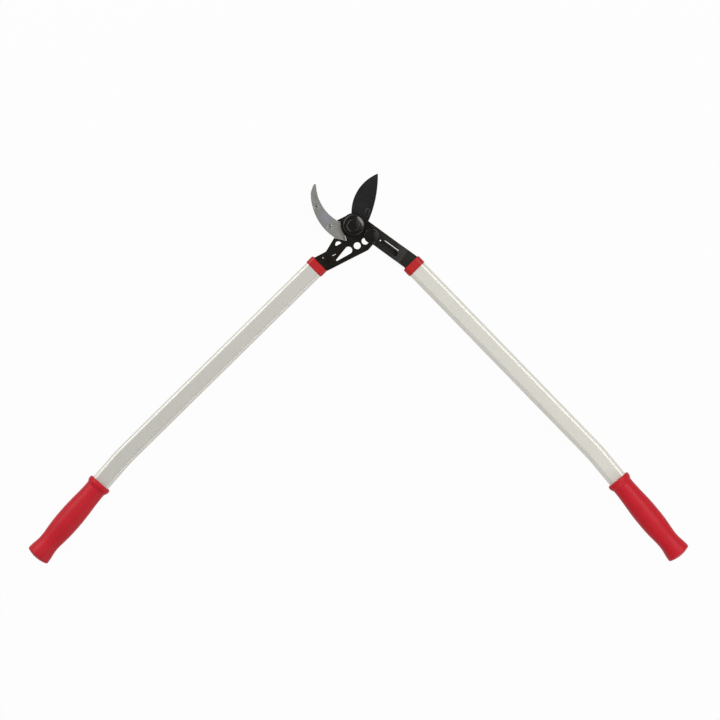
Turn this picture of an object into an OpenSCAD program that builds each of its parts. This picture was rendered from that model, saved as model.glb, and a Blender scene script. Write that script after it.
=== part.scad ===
// Anvil lopper: a leaf blade on the left handle closes on a curved anvil hook on the right handle.
// It lies flat, all lengths are in millimetres, and the drawing shows it fully open.
// Origin: on the main pivot axis, at the plane the lopper rests on. +Z points up through the jaws.

/* [Levels] */
// Height of the blade's middle plane above the rest plane
mid_z = 17.3; // [16:0.1:24]
// Thickness of the blade
blade_thickness = 5; // [3:0.1:6]
// Thickness of the truss frame that carries the blade
frame_thickness = 8; // [6:0.1:12]
// Step down from the arm's top to the seat under the anvil hook
backing_step = 2.2; // [1:0.1:4]
// Thickness of the anvil hook
hook_thickness = 10.5; // [8:0.1:12]

/* [Jaws] */
// Angle between the open blade's edge and the anvil
jaw_open = 65.5; // [50:0.5:75]
// Distance from the pivot to the end of the anvil hook's round nose
jaw_reach = 80.1; // [78:0.1:82]
// Direction from the pivot to that nose while open
nose_bearing = 134.2; // [133.5:0.1:135]
// Direction in which that nose points
nose_angle = 78; // [70:1:85]
// Radius of that nose
nose_radius = 1.95; // [1.6:0.05:2.2]
// Radius of the cutting edge, which the anvil repeats
edge_radius = 59.1; // [56:0.1:62]
// Radius of the circle round the pivot on which the centre of the cutting edge's arc travels
edge_orbit_radius = 58.5; // [56:0.1:61]
// Direction from the pivot to that centre while open
edge_centre_angle = 17.8; // [14:0.1:24]
// Gap left between edge and anvil when closed
edge_gap = 0.3; // [0.2:0.05:0.6]
// Distance from the pivot to the blade's blunted tip
blade_reach = 79.6; // [77:0.1:80.4]
// Radius of the blade's back
blade_back_radius = 159.8; // [150:0.1:170]
// Centre of the blade's back arc
blade_back_centre = [-126, 69.9]; // [-140:0.1:80]
// Width of the ground bevel on each side of the cutting edge
bevel_width = 10; // [6:0.5:14]
// Thickness left at the very edge
edge_land = 0.5; // [0.3:0.1:1]
// Radius of the hook's outer side
hook_outer_radius = 74.5; // [72:0.1:78]
// Centre of the hook's outer side
hook_outer_centre = [14.2, 45]; // [0:0.1:60]
// Centre of the rounding at the hook's tip
hook_tip_centre = [-15, 36]; // [-30:0.1:50]
// Radius of that rounding
hook_tip_radius = 46.2; // [44:0.1:50]
// Distance above the pivot at which that rounding starts
hook_tip_start = 40; // [30:0.5:46]
// Distance from the pivot to the flat under the hook's heel
heel_distance = 22.6; // [21:0.1:26]
// Direction of that flat as seen from the pivot
heel_angle = -102; // [-110:1:-95]
// Distance from the pivot to the line on which the hook's foot ends
foot_distance = 16.6; // [12:0.1:18]
// Direction from that line back to the pivot
foot_angle = 18; // [10:1:26]
// Gap between the hook and the round head it reaches round
hook_head_gap = 0.7; // [0.4:0.1:1.5]
// Gap between the hook's heel and its stop in the truss frame
seat_gap = 0.5; // [0.3:0.1:1]
// Place of the hook screw near the tip
tip_screw_place = [-52.9, 25.8]; // [-60:0.1:30]
// Place of the hook screw near the foot
foot_screw_place = [-33.7, -2]; // [-40:0.1:5]
// Radius of the hook screws' shanks
screw_radius = 2.2; // [1.8:0.1:2.6]
// Radius of the hook screws' countersunk heads
screw_head_radius = 3.6; // [3:0.1:4]
// Across-corner radius of the hook screws' sockets
screw_socket_radius = 1.5; // [1:0.1:1.8]
// Depth of the hook screws' sockets
screw_socket_depth = 1.6; // [1:0.1:2.5]
// How far the hook screws stop short of the arm's rear face
screw_cover = 2; // [1:0.1:4]
// Place of the oblong dimple on the blade
dimple_place = [18.8, 18]; // [10:0.1:25]
// Direction of that dimple, along the blade's back
dimple_angle = 70; // [50:1:90]
// Width of that dimple
dimple_width = 5; // [3:0.1:6]
// Distance between the centres of its round ends
dimple_length = 6.4; // [2:0.1:8]
// Depth of that dimple
dimple_depth = 1; // [0.5:0.1:2]

/* [Main pivot] */
// Radius of the round head that arm, blade and frame share
head_radius = 17.2; // [15:0.1:19]
// Radius of the main bolt's shank
bolt_radius = 6; // [5:0.1:7]
// Radius of the main bolt's flat rear head
bolt_head_radius = 12; // [10:0.1:14]
// Height of the main bolt's flat rear head
bolt_head_height = 5; // [4:0.1:6]
// Wall of the bush in blade and frame
bush_wall = 2.5; // [1.5:0.1:3.5]
// Radius of both thrust washers
washer_radius = 11; // [10:0.1:13]
// Thickness of the thrust washer between arm and blade
washer_thickness = 0.7; // [0.5:0.05:1.2]
// Thickness of the washer under the nut
nut_washer_thickness = 1; // [0.8:0.1:1.6]
// Across-corner radius of the nut
nut_radius = 10.4; // [9.5:0.1:10.6]
// Height of the nut
nut_height = 5; // [4:0.1:6]
// How far the bolt stands out of the nut
bolt_end = 0.6; // [0.3:0.1:1]
// Radius of the domed pivot cap
cap_radius = 15; // [13:0.1:16]
// Shell of the domed pivot cap above the bolt's end
cap_shell = 1.8; // [1.2:0.1:3]
// Radius of the pivot cap's dome
cap_dome = 42; // [38:1:80]
// Rounding of the pivot cap's shoulder
cap_shoulder = 2.4; // [1.6:0.1:3]
// Radius of the ring groove on the pivot cap
cap_ring_radius = 8.7; // [7:0.1:10.4]
// Radius of that groove's round section
ring_groove = 2; // [1:0.1:3]
// Depth of that groove
ring_depth = 0.4; // [0.2:0.1:0.6]

/* [Blade bolt] */
// Place of the bolt that holds the blade's heel to the frame
blade_bolt_place = [24.6, -15.1]; // [-20:0.1:30]
// Radius of that bolt's shank
blade_bolt_radius = 4; // [3:0.1:5]
// Radius of that bolt's head
blade_bolt_head_radius = 7; // [6:0.1:8]
// Height of that bolt's head
blade_bolt_head_height = 2.6; // [2:0.1:3.5]
// Radius of the washer under that head
blade_bolt_washer_radius = 8.4; // [7.6:0.1:9]
// Thickness of that washer
blade_bolt_washer_thickness = 0.8; // [0.5:0.1:1.2]
// How far that bolt stays behind the blade's rear face
blade_bolt_cover = 0.3; // [0.2:0.1:1]
// Radius of the small low cap
small_cap_radius = 10.3; // [9.8:0.1:11]
// Shell of the small cap above the bolt's head
small_cap_shell = 1.4; // [1:0.1:2]
// Radius of the small cap's dome
small_cap_dome = 45; // [40:1:80]
// Rounding of the small cap's rim
small_cap_shoulder = 1.2; // [0.6:0.1:2]
// Radius of the blade's heel round that bolt
heel_radius = 10.6; // [9:0.1:13]

/* [Truss frame] */
// Radius of the frame's boss round the blade bolt
boss_radius = 11.4; // [10.6:0.1:13]
// Distance from the blade bolt to the frame's lower edge
lower_edge_distance = 15.5; // [13:0.1:17]
// Direction of the frame's lower edge
lower_edge_angle = 26.8; // [22:0.1:32]
// Distance from the pivot to the cut across the frame's lower corner
frame_corner_distance = 38; // [34:0.1:42]
// Direction of that cut as seen from the pivot
frame_corner_angle = -41; // [-48:1:-26]
// Corner of the frame where its rib leaves the root
rib_corner = [-38.9, -36.7]; // [-45:0.1:-30]
// Upper end of that rib, beside the hook's heel
rib_top = [-27.1, -17.1]; // [-30:0.1:-15]
// Direction of the frame's root
root_angle = 28; // [20:0.5:34]
// Centre of the round lightening hole beside the teardrop hole
middle_hole_place = [4.8, -28.6]; // [-35:0.1:10]
// Centre of the round lightening hole beside the blade bolt
bolt_hole_place = [15.8, -22.2]; // [-30:0.1:20]
// Radius of those holes
round_hole_radius = 4.9; // [4:0.1:6]
// Centre of the teardrop hole's round end
teardrop_place = [-7.3, -35]; // [-40:0.1:0]
// Radius of the teardrop hole's round end
teardrop_radius = 5.2; // [4.5:0.1:6]
// Narrow end of the teardrop hole
teardrop_tip = [-23.5, -48.6]; // [-55:0.1:-15]
// Radius of its narrow end
teardrop_tip_radius = 1.2; // [0.8:0.1:2]
// Centre of the half-moon hole
moon_place = [-21.5, -26.7]; // [-30:0.1:-15]
// Radius of the half-moon hole
moon_radius = 4.3; // [3.5:0.1:6]
// Distance from that centre to the half-moon's flat side
moon_flat = 0.4; // [0.2:0.1:2]
// Start of the small slot in the frame's root
root_slot_place = [-29.9, -42.7]; // [-45:0.1:-20]
// Length of that slot between its end centres
root_slot_length = 5; // [2:0.1:7]
// Width of that slot
root_slot_width = 0.9; // [0.7:0.1:2.5]
// Place of the small drain hole in the frame's root
root_drain_place = [-43.1, -45.4]; // [-50:0.1:-40]
// Radius of that hole
root_drain_radius = 0.8; // [0.7:0.1:2]
// Length of the frame's full-height root, from the collar
frame_block = 17; // [10:0.5:20]
// Length of the ramp from that root to the plate
frame_ramp = 15; // [10:0.5:20]
// Radius of the raised pad on the frame's root
pad_radius = 8.4; // [6:0.1:9.5]
// How far the raised pad reaches from the collar
pad_reach = 14; // [8:0.5:20]
// Height of the raised pad
pad_height = 1; // [0.5:0.1:2]

/* [Anvil arm] */
// Direction of the arm's bar
bar_angle = -36.2; // [-42:0.1:-32]
// Width of the arm's bar
bar_width = 22.7; // [20:0.1:25]
// Radius of the backing's end at the screw near the head
backing_neck_radius = 4; // [3:0.1:8]
// How far the backing stays inside the hook's outline
backing_inset = 1.8; // [1:0.1:3]
// How far the backing ends short of the hook's tip
backing_short = 10; // [6:0.5:16]
// Distance along the bar where the ramp to the handle starts
arm_ramp_start = 66; // [62:0.5:72]
// Length of that ramp
arm_ramp = 16; // [12:0.5:20]
// Distance along the bar and across it to the start of the slot
slot_place = [48, 8.7]; // [0:0.1:60]
// Length of the slot between its end centres
slot_length = 23.3; // [15:0.1:28]
// Width of the slot
slot_width = 1; // [0.8:0.1:2.5]
// Distance along the bar and across it to the start of the pocket
pocket_place = [48, 2.4]; // [0:0.1:60]
// Length of the pocket between its end centres
pocket_length = 22; // [12:0.5:26]
// Width of the pocket
pocket_width = 6.6; // [4:0.1:8]
// Depth of the pocket below the bar's top
pocket_depth = 3; // [1:0.1:5]
// Distance along the bar and across it to the small drain hole
drain_place = [42.4, 5.2]; // [0:0.1:60]
// Radius of that hole
drain_radius = 1; // [0.8:0.1:2]

/* [Handles] */
// Centre of the collar on the left tube
left_collar_place = [-52, -57.5]; // [-60:0.1:-50]
// Direction of the left tube
left_tube_angle = -135.45; // [-140:0.05:-130]
// Length of the left tube from the collar to its bend
left_tube_length = 380.4; // [250:0.1:480]
// Centre of the collar on the right tube
right_collar_place = [84.3, -57]; // [-60:0.1:90]
// Direction of the right tube
right_tube_angle = -45.8; // [-50:0.05:-40]
// Length of the right tube from the collar to its bend
right_tube_length = 365.2; // [250:0.1:480]
// Width of the flat-oval tubes
tube_width = 26.8; // [25.5:0.1:27.5]
// Height of the flat-oval tubes
tube_height = 18; // [16.5:0.1:18.5]
// Corner radius of the tubes
tube_corner = 6.4; // [4:0.1:8]
// Wall of the tubes
tube_wall = 1.5; // [1:0.1:2]
// Bend of each tube before its grip
tube_bend = 4.6; // [2:0.1:8]
// Radius of that bend
bend_radius = 350; // [250:5:450]
// Length of the tang inside each tube
tang_length = 42; // [25:1:60]
// Radius of the cross pins under the collars
pin_radius = 2.5; // [1.5:0.1:3]
// Wall of the collars round the tubes
collar_wall = 1.2; // [1:0.1:2]
// Length of the collars along the tubes
collar_length = 12.4; // [10:0.1:16]
// Size of the stepped edges of the collars
collar_step = 0.5; // [0.3:0.1:0.7]
// Thickness of the collars' lip in front of the tubes
collar_lip = 2; // [1:0.1:3]

/* [Grips] */
// Distance from the bend to the grip's flange
grip_start = 47.6; // [36:0.1:60]
// Length of each grip
grip_length = 138.6; // [110:0.1:160]
// Radius of each grip's flange
flange_radius = 17.2; // [16.6:0.1:17.3]
// Width of each grip's flange along the grip
flange_width = 4.4; // [3:0.1:6]
// Rounding of each flange's front edge
flange_corner = 2.2; // [1:0.1:2.8]
// Length of the fillet from each flange to the first neck
flange_fillet = 7; // [5:0.1:12]
// Radius of each grip at its two necks
neck_radius = 14.8; // [14.3:0.1:15.4]
// Radius of each grip at its belly
belly_radius = 17.2; // [16:0.1:17.3]
// How long the belly stays full towards the second neck, 1 for an even slope
belly_hold = 1.6; // [1:0.1:2]
// Radius of the flare at each grip's end
flare_radius = 17.2; // [16:0.1:17.3]
// Height of the dome on each grip's end
grip_dome = 3; // [2:0.1:5]
// Rounding of the corner round that dome
grip_end_round = 2.4; // [1:0.1:4]
// Wall left at each grip's closed end
grip_end_wall = 8; // [6:0.5:14]

/* [Clearances] */
// Radial clearance of the bush on the main bolt
running_clearance = 0.05; // [0.02:0.01:0.08]
// End play between the turning faces of the pivot
end_play = 0.1; // [0.05:0.05:0.3]
// Gap at faces that are fixed to each other
fixed_gap = 0.02; // [0.01:0.01:0.05]
// Gap between tube and the pieces that slide onto or into it
slide_gap = 0.1; // [0.05:0.05:0.2]
// Gap between the pivot cap and the frame that turns under it
cap_gap = 0.3; // [0.2:0.1:0.6]
// Overrun of cutting shapes
overrun = 1; // [0.5:0.5:3]

/* [Hidden] */
$fn = 96;

// Levels from the rest plane upwards
blade_bottom = mid_z - blade_thickness / 2;
blade_top = mid_z + blade_thickness / 2;
arm_bottom = bolt_head_height;
arm_top = blade_bottom - end_play - washer_thickness;
hook_bottom = arm_top - backing_step;
hook_top = hook_bottom + hook_thickness;
frame_top = blade_top + frame_thickness;
nut_washer_bottom = frame_top + end_play;
nut_bottom = nut_washer_bottom + nut_washer_thickness;
nut_top = nut_bottom + nut_height;
cap_bottom = frame_top + cap_gap;
cap_top = nut_top + bolt_end + cap_shell;
blade_bolt_head_bottom = frame_top + blade_bolt_washer_thickness;
blade_bolt_head_top = blade_bolt_head_bottom + blade_bolt_head_height;
small_cap_top = blade_bolt_head_top + small_cap_shell;

hook_screws = [tip_screw_place, foot_screw_place];
nose_place = polar(jaw_reach - nose_radius, nose_bearing);
round_holes = [middle_hole_place, bolt_hole_place];

// A square of this size covers the whole head, to cut along a line
head_span = 4 * jaw_reach;
// Tangent bars between discs are narrowed by this share, so that they cross the discs' rims
tangent_share = 0.996;
// Places of the grip's belly and second neck, as shares of its length
grip_shares = [0.46, 0.8];
// Points drawn on each stretch of the grip's outline
grip_steps = 10;
// Points drawn on each rounding of the grip's outline
grip_round_steps = 6;

tang_width = tube_width - 2 * tube_wall - 2 * slide_gap;
tang_height = tube_height - 2 * tube_wall - 2 * slide_gap;
tang_corner = tube_corner - tube_wall;
collar_width = tube_width + 2 * collar_wall;
collar_height = tube_height + 2 * collar_wall;
collar_corner = tube_corner + collar_wall;
bend_tangent = bend_radius * tan(tube_bend / 2);
grip_end = grip_start + grip_length;
tube_end = grip_end - grip_end_wall - slide_gap;
// Slope of the grip's dome at its rim, and the centre of the rounding there
rim_angle = atan(2 * grip_dome / flare_radius);
rim_centre = [grip_length - grip_dome - grip_end_round * cos(rim_angle), flare_radius - grip_end_round];
dome_radius = rim_centre.y + grip_end_round * sin(rim_angle);
// Places along the grip and its radii there: flange, neck, belly, neck and flare
grip_places = [flange_width, flange_width + flange_fillet,
               grip_length * grip_shares[0], grip_length * grip_shares[1], rim_centre.x];
grip_radii = [flange_radius, neck_radius, belly_radius, neck_radius, flare_radius];
grip_holds = [1, 1, belly_hold, 1];
bar_top = head_radius * tangent_share;
bush_radius = bolt_radius + running_clearance + bush_wall;

function polar(r, a) = [r * cos(a), r * sin(a)];
function eased(a, b, t) = a + (b - a) * (1 - cos(180 * t)) / 2;

// Centre of the cutting edge's arc, turned by the given angle about the pivot
function edge_centre(turn) = polar(edge_orbit_radius, edge_centre_angle + turn);

// Flat bar whose straight sides touch two discs of unlike radius
module link2d(p, rp, q, rq) {
    d = q - p;
    a = atan2(d.y, d.x);
    b = acos((rp - rq) / norm(d));
    sp = rp * tangent_share;
    sq = rq * tangent_share;
    translate(p) circle(rp);
    translate(q) circle(rq);
    polygon([p + polar(sp, a - b), q + polar(sq, a - b), q + polar(sq, a + b), p + polar(sp, a + b)]);
}

// Slot shape along +X from the origin
module slot2d(length, width) {
    circle(width / 2);
    translate([length, 0]) circle(width / 2);
    translate([0, -width / 2]) square([length, width]);
}

module round_rect2d(w, h, r) {
    square([w - 2 * r, h], center = true);
    square([w, h - 2 * r], center = true);
    for (x = [-1, 1])
        for (y = [-1, 1])
            translate([x * (w / 2 - r), y * (h / 2 - r)]) circle(r);
}

// Half plane beyond a line at the given distance from the pivot, in the given direction
module beyond2d(distance, angle) {
    rotate(angle) translate([distance, -head_span / 2]) square(head_span);
}

module plate(bottom, top) {
    translate([0, 0, bottom]) linear_extrude(top - bottom) children();
}

// Stands a flat shape on the given side of a handle's axis, from one place along it to another
module along_x(from, to) {
    translate([from, 0, 0]) rotate([90, 0, 90]) linear_extrude(to - from) children();
}

// Puts a handle piece in place: +X runs down the tube from the collar, and the grip bends to -Y
module right_handle() {
    translate([right_collar_place.x, right_collar_place.y, mid_z])
        rotate([0, 0, right_tube_angle]) children();
}

module left_handle() {
    translate([left_collar_place.x, left_collar_place.y, mid_z])
        rotate([0, 0, left_tube_angle]) mirror([0, 1, 0]) children();
}

// Moves to the bend of a tube and turns along the grip
module past_bend(length) {
    translate([length, 0, 0]) rotate([0, 0, -tube_bend]) children();
}

// Outline of the anvil hook, grown on all sides
module hook2d(grow) {
    difference() {
        intersection() {
            translate(hook_outer_centre) circle(hook_outer_radius + grow);
            circle(jaw_reach + nose_radius + grow);
        }
        beyond2d(nose_place * polar(1, nose_angle), nose_angle);
        difference() {
            beyond2d(hook_tip_start, 90);
            translate(hook_tip_centre) circle(hook_tip_radius + grow);
        }
        translate(edge_centre(jaw_open)) circle(edge_radius + edge_gap - grow);
        circle(head_radius + hook_head_gap - grow);
        beyond2d(heel_distance + grow, heel_angle);
        beyond2d(grow - foot_distance, foot_angle);
    }
    translate(nose_place) circle(max(nose_radius + grow, fixed_gap));
}

// Outline of the arm's backing under the hook
module backing2d() {
    intersection() {
        hook2d(-backing_inset);
        circle(jaw_reach - backing_short);
    }
    link2d([0, 0], head_radius * tangent_share, foot_screw_place, backing_neck_radius);
}

// Side view of the arm: thin under the blade, full height at the handle
module arm_side2d(length) {
    ramp_end = arm_ramp_start + arm_ramp;
    polygon([
        [0, arm_bottom], [arm_ramp_start, arm_bottom],
        [ramp_end, mid_z - tube_height / 2], [length, mid_z - tube_height / 2],
        [length, mid_z + tube_height / 2], [ramp_end, mid_z + tube_height / 2],
        [arm_ramp_start, arm_top], [0, arm_top]
    ]);
}

// Everything on the tube's side of a collar's front face
module past_collar_face() {
    translate([-collar_length / 2 - fixed_gap, -head_span / 2, -head_span / 2]) cube(head_span);
}

module tang() {
    start = -collar_length / 2 - overrun;
    along_x(start, tang_length) round_rect2d(tang_width, tang_height, tang_corner);
}

module pin_hole() {
    cylinder(h = tube_height + 2 * overrun, r = pin_radius + fixed_gap, center = true);
}

module tang_pin() {
    cylinder(h = tube_height, r = pin_radius, center = true);
}

module anvil_arm() {
    bar_length = norm(right_collar_place) + collar_length;
    color([0.15, 0.14, 0.13]) difference() {
        union() {
            difference() {
                union() {
                    plate(arm_bottom, arm_top) circle(head_radius);
                    rotate([0, 0, bar_angle]) translate([0, bar_top, 0]) rotate([90, 0, 0])
                        linear_extrude(bar_width) arm_side2d(bar_length);
                }
                right_handle() past_collar_face();
                rotate([0, 0, bar_angle]) bar_cuts();
            }
            plate(arm_bottom, hook_bottom) backing2d();
            right_handle() tang();
        }
        translate([0, 0, -overrun]) cylinder(h = frame_top, r = bolt_radius + fixed_gap);
        for (p = hook_screws)
            translate([p.x, p.y, arm_bottom + screw_cover - fixed_gap])
                cylinder(h = hook_thickness, r = screw_radius + fixed_gap);
        right_handle() pin_hole();
    }
}

module bar_cuts() {
    plate(-overrun, frame_top + tube_height) {
        translate(slot_place) slot2d(slot_length, slot_width);
        translate(drain_place) circle(drain_radius);
    }
    plate(arm_top - pocket_depth, frame_top + tube_height)
        translate(pocket_place) slot2d(pocket_length, pocket_width);
}

module anvil_hook() {
    color([0.6, 0.6, 0.6]) difference() {
        plate(hook_bottom, hook_top) hook2d(0);
        for (p = hook_screws)
            translate([p.x, p.y, 0]) screw_shape(fixed_gap);
    }
}

// Countersunk screw, grown on all sides for its hole
module screw_shape(grow) {
    head_depth = screw_head_radius - screw_radius;
    rotate_extrude() polygon([
        [0, arm_bottom + screw_cover], [screw_radius + grow, arm_bottom + screw_cover],
        [screw_radius + grow, hook_top - head_depth], [screw_head_radius + grow, hook_top],
        [screw_head_radius + grow, hook_top + grow], [0, hook_top + grow]
    ]);
}

module anvil_screws() {
    color([0.35, 0.35, 0.35])
        for (p = hook_screws)
            translate([p.x, p.y, 0]) difference() {
                screw_shape(0);
                translate([0, 0, hook_top - screw_socket_depth])
                    cylinder(h = screw_socket_depth + overrun, r = screw_socket_radius, $fn = 6);
            }
}

module pivot_bolt() {
    color([0.5, 0.5, 0.5]) {
        cylinder(h = bolt_head_height, r = bolt_head_radius);
        cylinder(h = nut_top + bolt_end, r = bolt_radius);
    }
}

module washer(bottom, thickness, outer, inner) {
    translate([0, 0, bottom]) difference() {
        cylinder(h = thickness, r = outer);
        translate([0, 0, -overrun]) cylinder(h = thickness + 2 * overrun, r = inner);
    }
}

module thrust_washer() {
    color([0.7, 0.55, 0.3]) washer(arm_top, washer_thickness, washer_radius, bolt_radius + fixed_gap);
}

module nut_washer() {
    color([0.7, 0.55, 0.3])
        washer(nut_washer_bottom, nut_washer_thickness, washer_radius, bolt_radius + fixed_gap);
}

module pivot_nut() {
    color([0.5, 0.5, 0.5]) difference() {
        translate([0, 0, nut_bottom]) cylinder(h = nut_height, r = nut_radius, $fn = 6);
        cylinder(h = nut_top + overrun, r = bolt_radius + fixed_gap);
    }
}

// Round cap, solid inside: a low dome that runs into a rolled shoulder
module cap_body(bottom, top, radius, shoulder, dome) {
    centre = top - bottom - dome;
    rim = centre + sqrt(pow(dome + fixed_gap - shoulder, 2) - pow(radius - shoulder, 2));
    translate([0, 0, bottom]) rotate_extrude() {
        square([radius, rim]);
        translate([radius - shoulder, rim]) circle(shoulder);
        intersection() {
            translate([0, centre]) circle(dome);
            square([(radius - shoulder) * dome / (dome - shoulder), top - bottom + overrun]);
        }
    }
}

// Ring groove on a cap's dome
module cap_groove(top, dome, ring) {
    out = (dome + ring_groove - ring_depth) / dome;
    height = sqrt(dome * dome - ring * ring) * out;
    translate([0, 0, top - dome]) rotate_extrude() translate([ring * out, height]) circle(ring_groove);
}

module pivot_cap() {
    color([0.14, 0.12, 0.11]) difference() {
        cap_body(cap_bottom, cap_top, cap_radius, cap_shoulder, cap_dome);
        cap_groove(cap_top, cap_dome, cap_ring_radius);
        cylinder(h = nut_bottom + fixed_gap, r = washer_radius + fixed_gap);
        cylinder(h = nut_top + fixed_gap, r = nut_radius + fixed_gap, $fn = 6);
        cylinder(h = nut_top + bolt_end + fixed_gap, r = bolt_radius + fixed_gap);
    }
}

// Outline of the leaf, between the cutting edge's disc and the back's disc
module leaf2d() {
    intersection() {
        translate(edge_centre(0)) circle(edge_radius);
        translate(blade_back_centre) circle(blade_back_radius);
        circle(blade_reach);
    }
}

// Disc with a sharp rim: it grinds both bevels of the cutting edge
module bevel_disc() {
    inner = edge_radius - bevel_width;
    c = edge_centre(0);
    translate([c.x, c.y, mid_z]) rotate_extrude() polygon([
        [0, -blade_thickness / 2], [inner, -blade_thickness / 2], [edge_radius, -edge_land / 2],
        [edge_radius, edge_land / 2], [inner, blade_thickness / 2], [0, blade_thickness / 2]
    ]);
}

module blade() {
    color([0.16, 0.16, 0.16]) difference() {
        union() {
            intersection() {
                plate(blade_bottom - overrun, blade_top + overrun) leaf2d();
                bevel_disc();
            }
            plate(blade_bottom, blade_top)
                link2d([0, 0], head_radius, blade_bolt_place, heel_radius);
        }
        cylinder(h = frame_top, r = bush_radius + fixed_gap);
        translate(blade_bolt_place) cylinder(h = frame_top, r = blade_bolt_radius + fixed_gap);
        plate(blade_bottom - overrun, blade_top + overrun)
            translate(bolt_hole_place) circle(round_hole_radius);
        plate(blade_top - dimple_depth, blade_top + overrun)
            translate(dimple_place) rotate(dimple_angle) translate([-dimple_length / 2, 0])
                slot2d(dimple_length, dimple_width);
    }
}

module pivot_bush() {
    color([0.7, 0.55, 0.3])
        washer(blade_bottom, frame_top - blade_bottom, bush_radius, bolt_radius + running_clearance);
}

// Outline of the truss frame before its holes are cut
module frame2d() {
    edge_start = blade_bolt_place + polar(lower_edge_distance, lower_edge_angle - 90);
    edge_end = edge_start - polar(2 * norm(left_collar_place), lower_edge_angle);
    root_top = rib_corner - polar(2 * norm(left_collar_place), root_angle);
    link2d([0, 0], head_radius, blade_bolt_place, boss_radius);
    difference() {
        polygon([[0, 0], blade_bolt_place, edge_start, edge_end, root_top, rib_corner, rib_top]);
        beyond2d(frame_corner_distance, frame_corner_angle);
    }
}

module frame_holes2d() {
    for (p = round_holes)
        translate(p) circle(round_hole_radius);
    link2d(teardrop_place, teardrop_radius, teardrop_tip, teardrop_tip_radius);
    translate(root_slot_place) rotate(root_angle) slot2d(root_slot_length, root_slot_width);
    translate(root_drain_place) circle(root_drain_radius);
    difference() {
        translate(moon_place) circle(moon_radius);
        translate(moon_place) beyond2d(moon_flat, root_angle - 90);
    }
}

// Side view of the frame: a plate in front of the blade, full height at the handle
module frame_side2d(length) {
    low = mid_z - tube_height / 2;
    polygon([
        [-head_span, low], [frame_block, low], [frame_block + frame_ramp, blade_top],
        [length, blade_top], [length, frame_top], [-head_span, frame_top]
    ]);
}

// Moves to the middle of the left collar's front face and turns along the frame's root
module at_root() {
    face = left_collar_place - polar(collar_length / 2, left_tube_angle);
    translate([face.x, face.y, 0]) rotate([0, 0, root_angle]) children();
}

module truss_frame() {
    color([0.11, 0.1, 0.1]) difference() {
        union() {
            difference() {
                union() {
                    intersection() {
                        plate(arm_bottom, frame_top) frame2d();
                        at_root() translate([0, head_span / 2, 0]) rotate([90, 0, 0])
                            linear_extrude(head_span) frame_side2d(head_span);
                    }
                    at_root() plate(mid_z, frame_top + pad_height) slot2d(pad_reach, 2 * pad_radius);
                }
                left_handle() past_collar_face();
            }
            left_handle() tang();
        }
        plate(arm_bottom - overrun, frame_top + pad_height + overrun) frame_holes2d();
        plate(arm_bottom - overrun, frame_top + overrun) hook2d(seat_gap);
        cylinder(h = frame_top + overrun, r = bush_radius + fixed_gap);
        translate(blade_bolt_place)
            cylinder(h = frame_top + overrun, r = blade_bolt_radius + fixed_gap);
        left_handle() pin_hole();
    }
}

module blade_bolt() {
    bottom = blade_bottom + blade_bolt_cover;
    color([0.5, 0.5, 0.5]) translate(blade_bolt_place) {
        translate([0, 0, bottom])
            cylinder(h = blade_bolt_head_top - bottom, r = blade_bolt_radius);
        translate([0, 0, blade_bolt_head_bottom])
            cylinder(h = blade_bolt_head_height, r = blade_bolt_head_radius);
    }
}

module blade_bolt_washer() {
    color([0.6, 0.6, 0.6]) translate(blade_bolt_place)
        washer(frame_top, blade_bolt_washer_thickness, blade_bolt_washer_radius,
               blade_bolt_radius + fixed_gap);
}

module blade_bolt_cap() {
    color([0.14, 0.13, 0.12]) translate(blade_bolt_place) difference() {
        cap_body(frame_top, small_cap_top, small_cap_radius, small_cap_shoulder, small_cap_dome);
        cylinder(h = blade_bolt_head_bottom + fixed_gap, r = blade_bolt_washer_radius + fixed_gap);
        cylinder(h = blade_bolt_head_top + fixed_gap, r = blade_bolt_head_radius + fixed_gap);
    }
}

// Section of a tube, or of the space it needs when grown
module tube2d(grow) {
    round_rect2d(tube_width + 2 * grow, tube_height + 2 * grow, tube_corner + grow);
}

// Solid run of a tube with the given length to its bend, grown on all sides.
// The bend is fuller by the fixed gap, so that the straight runs lap into it.
module tube_run(length, grow, extra) {
    start = -collar_length / 2 + collar_lip + slide_gap;
    along_x(start - extra, length - bend_tangent + overrun) tube2d(grow);
    translate([length - bend_tangent, -bend_radius, 0]) rotate([0, 0, 90 - tube_bend])
        rotate_extrude(angle = tube_bend) translate([bend_radius, 0]) tube2d(grow + fixed_gap);
    past_bend(length) along_x(bend_tangent - overrun, tube_end + extra) tube2d(grow);
}

// A bent tube with the given length from the collar to the bend
module tube(length) {
    color([0.8, 0.8, 0.78]) difference() {
        tube_run(length, 0, 0);
        tube_run(length, -tube_wall, overrun);
        pin_hole();
    }
}

// Red collar with stepped edges and a lip in front of the tube
module collar() {
    half = collar_length / 2;
    slim = 2 * collar_step;
    color([0.72, 0.14, 0.16]) difference() {
        union() {
            along_x(-half, half)
                round_rect2d(collar_width - slim, collar_height - slim, collar_corner - collar_step);
            along_x(-half + slim, half - slim)
                round_rect2d(collar_width, collar_height, collar_corner);
        }
        along_x(-half + collar_lip, half + overrun) tube2d(slide_gap);
        along_x(-half - overrun, half)
            round_rect2d(tang_width + 2 * slide_gap, tang_height + 2 * slide_gap, tang_corner + slide_gap);
    }
}

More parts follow.
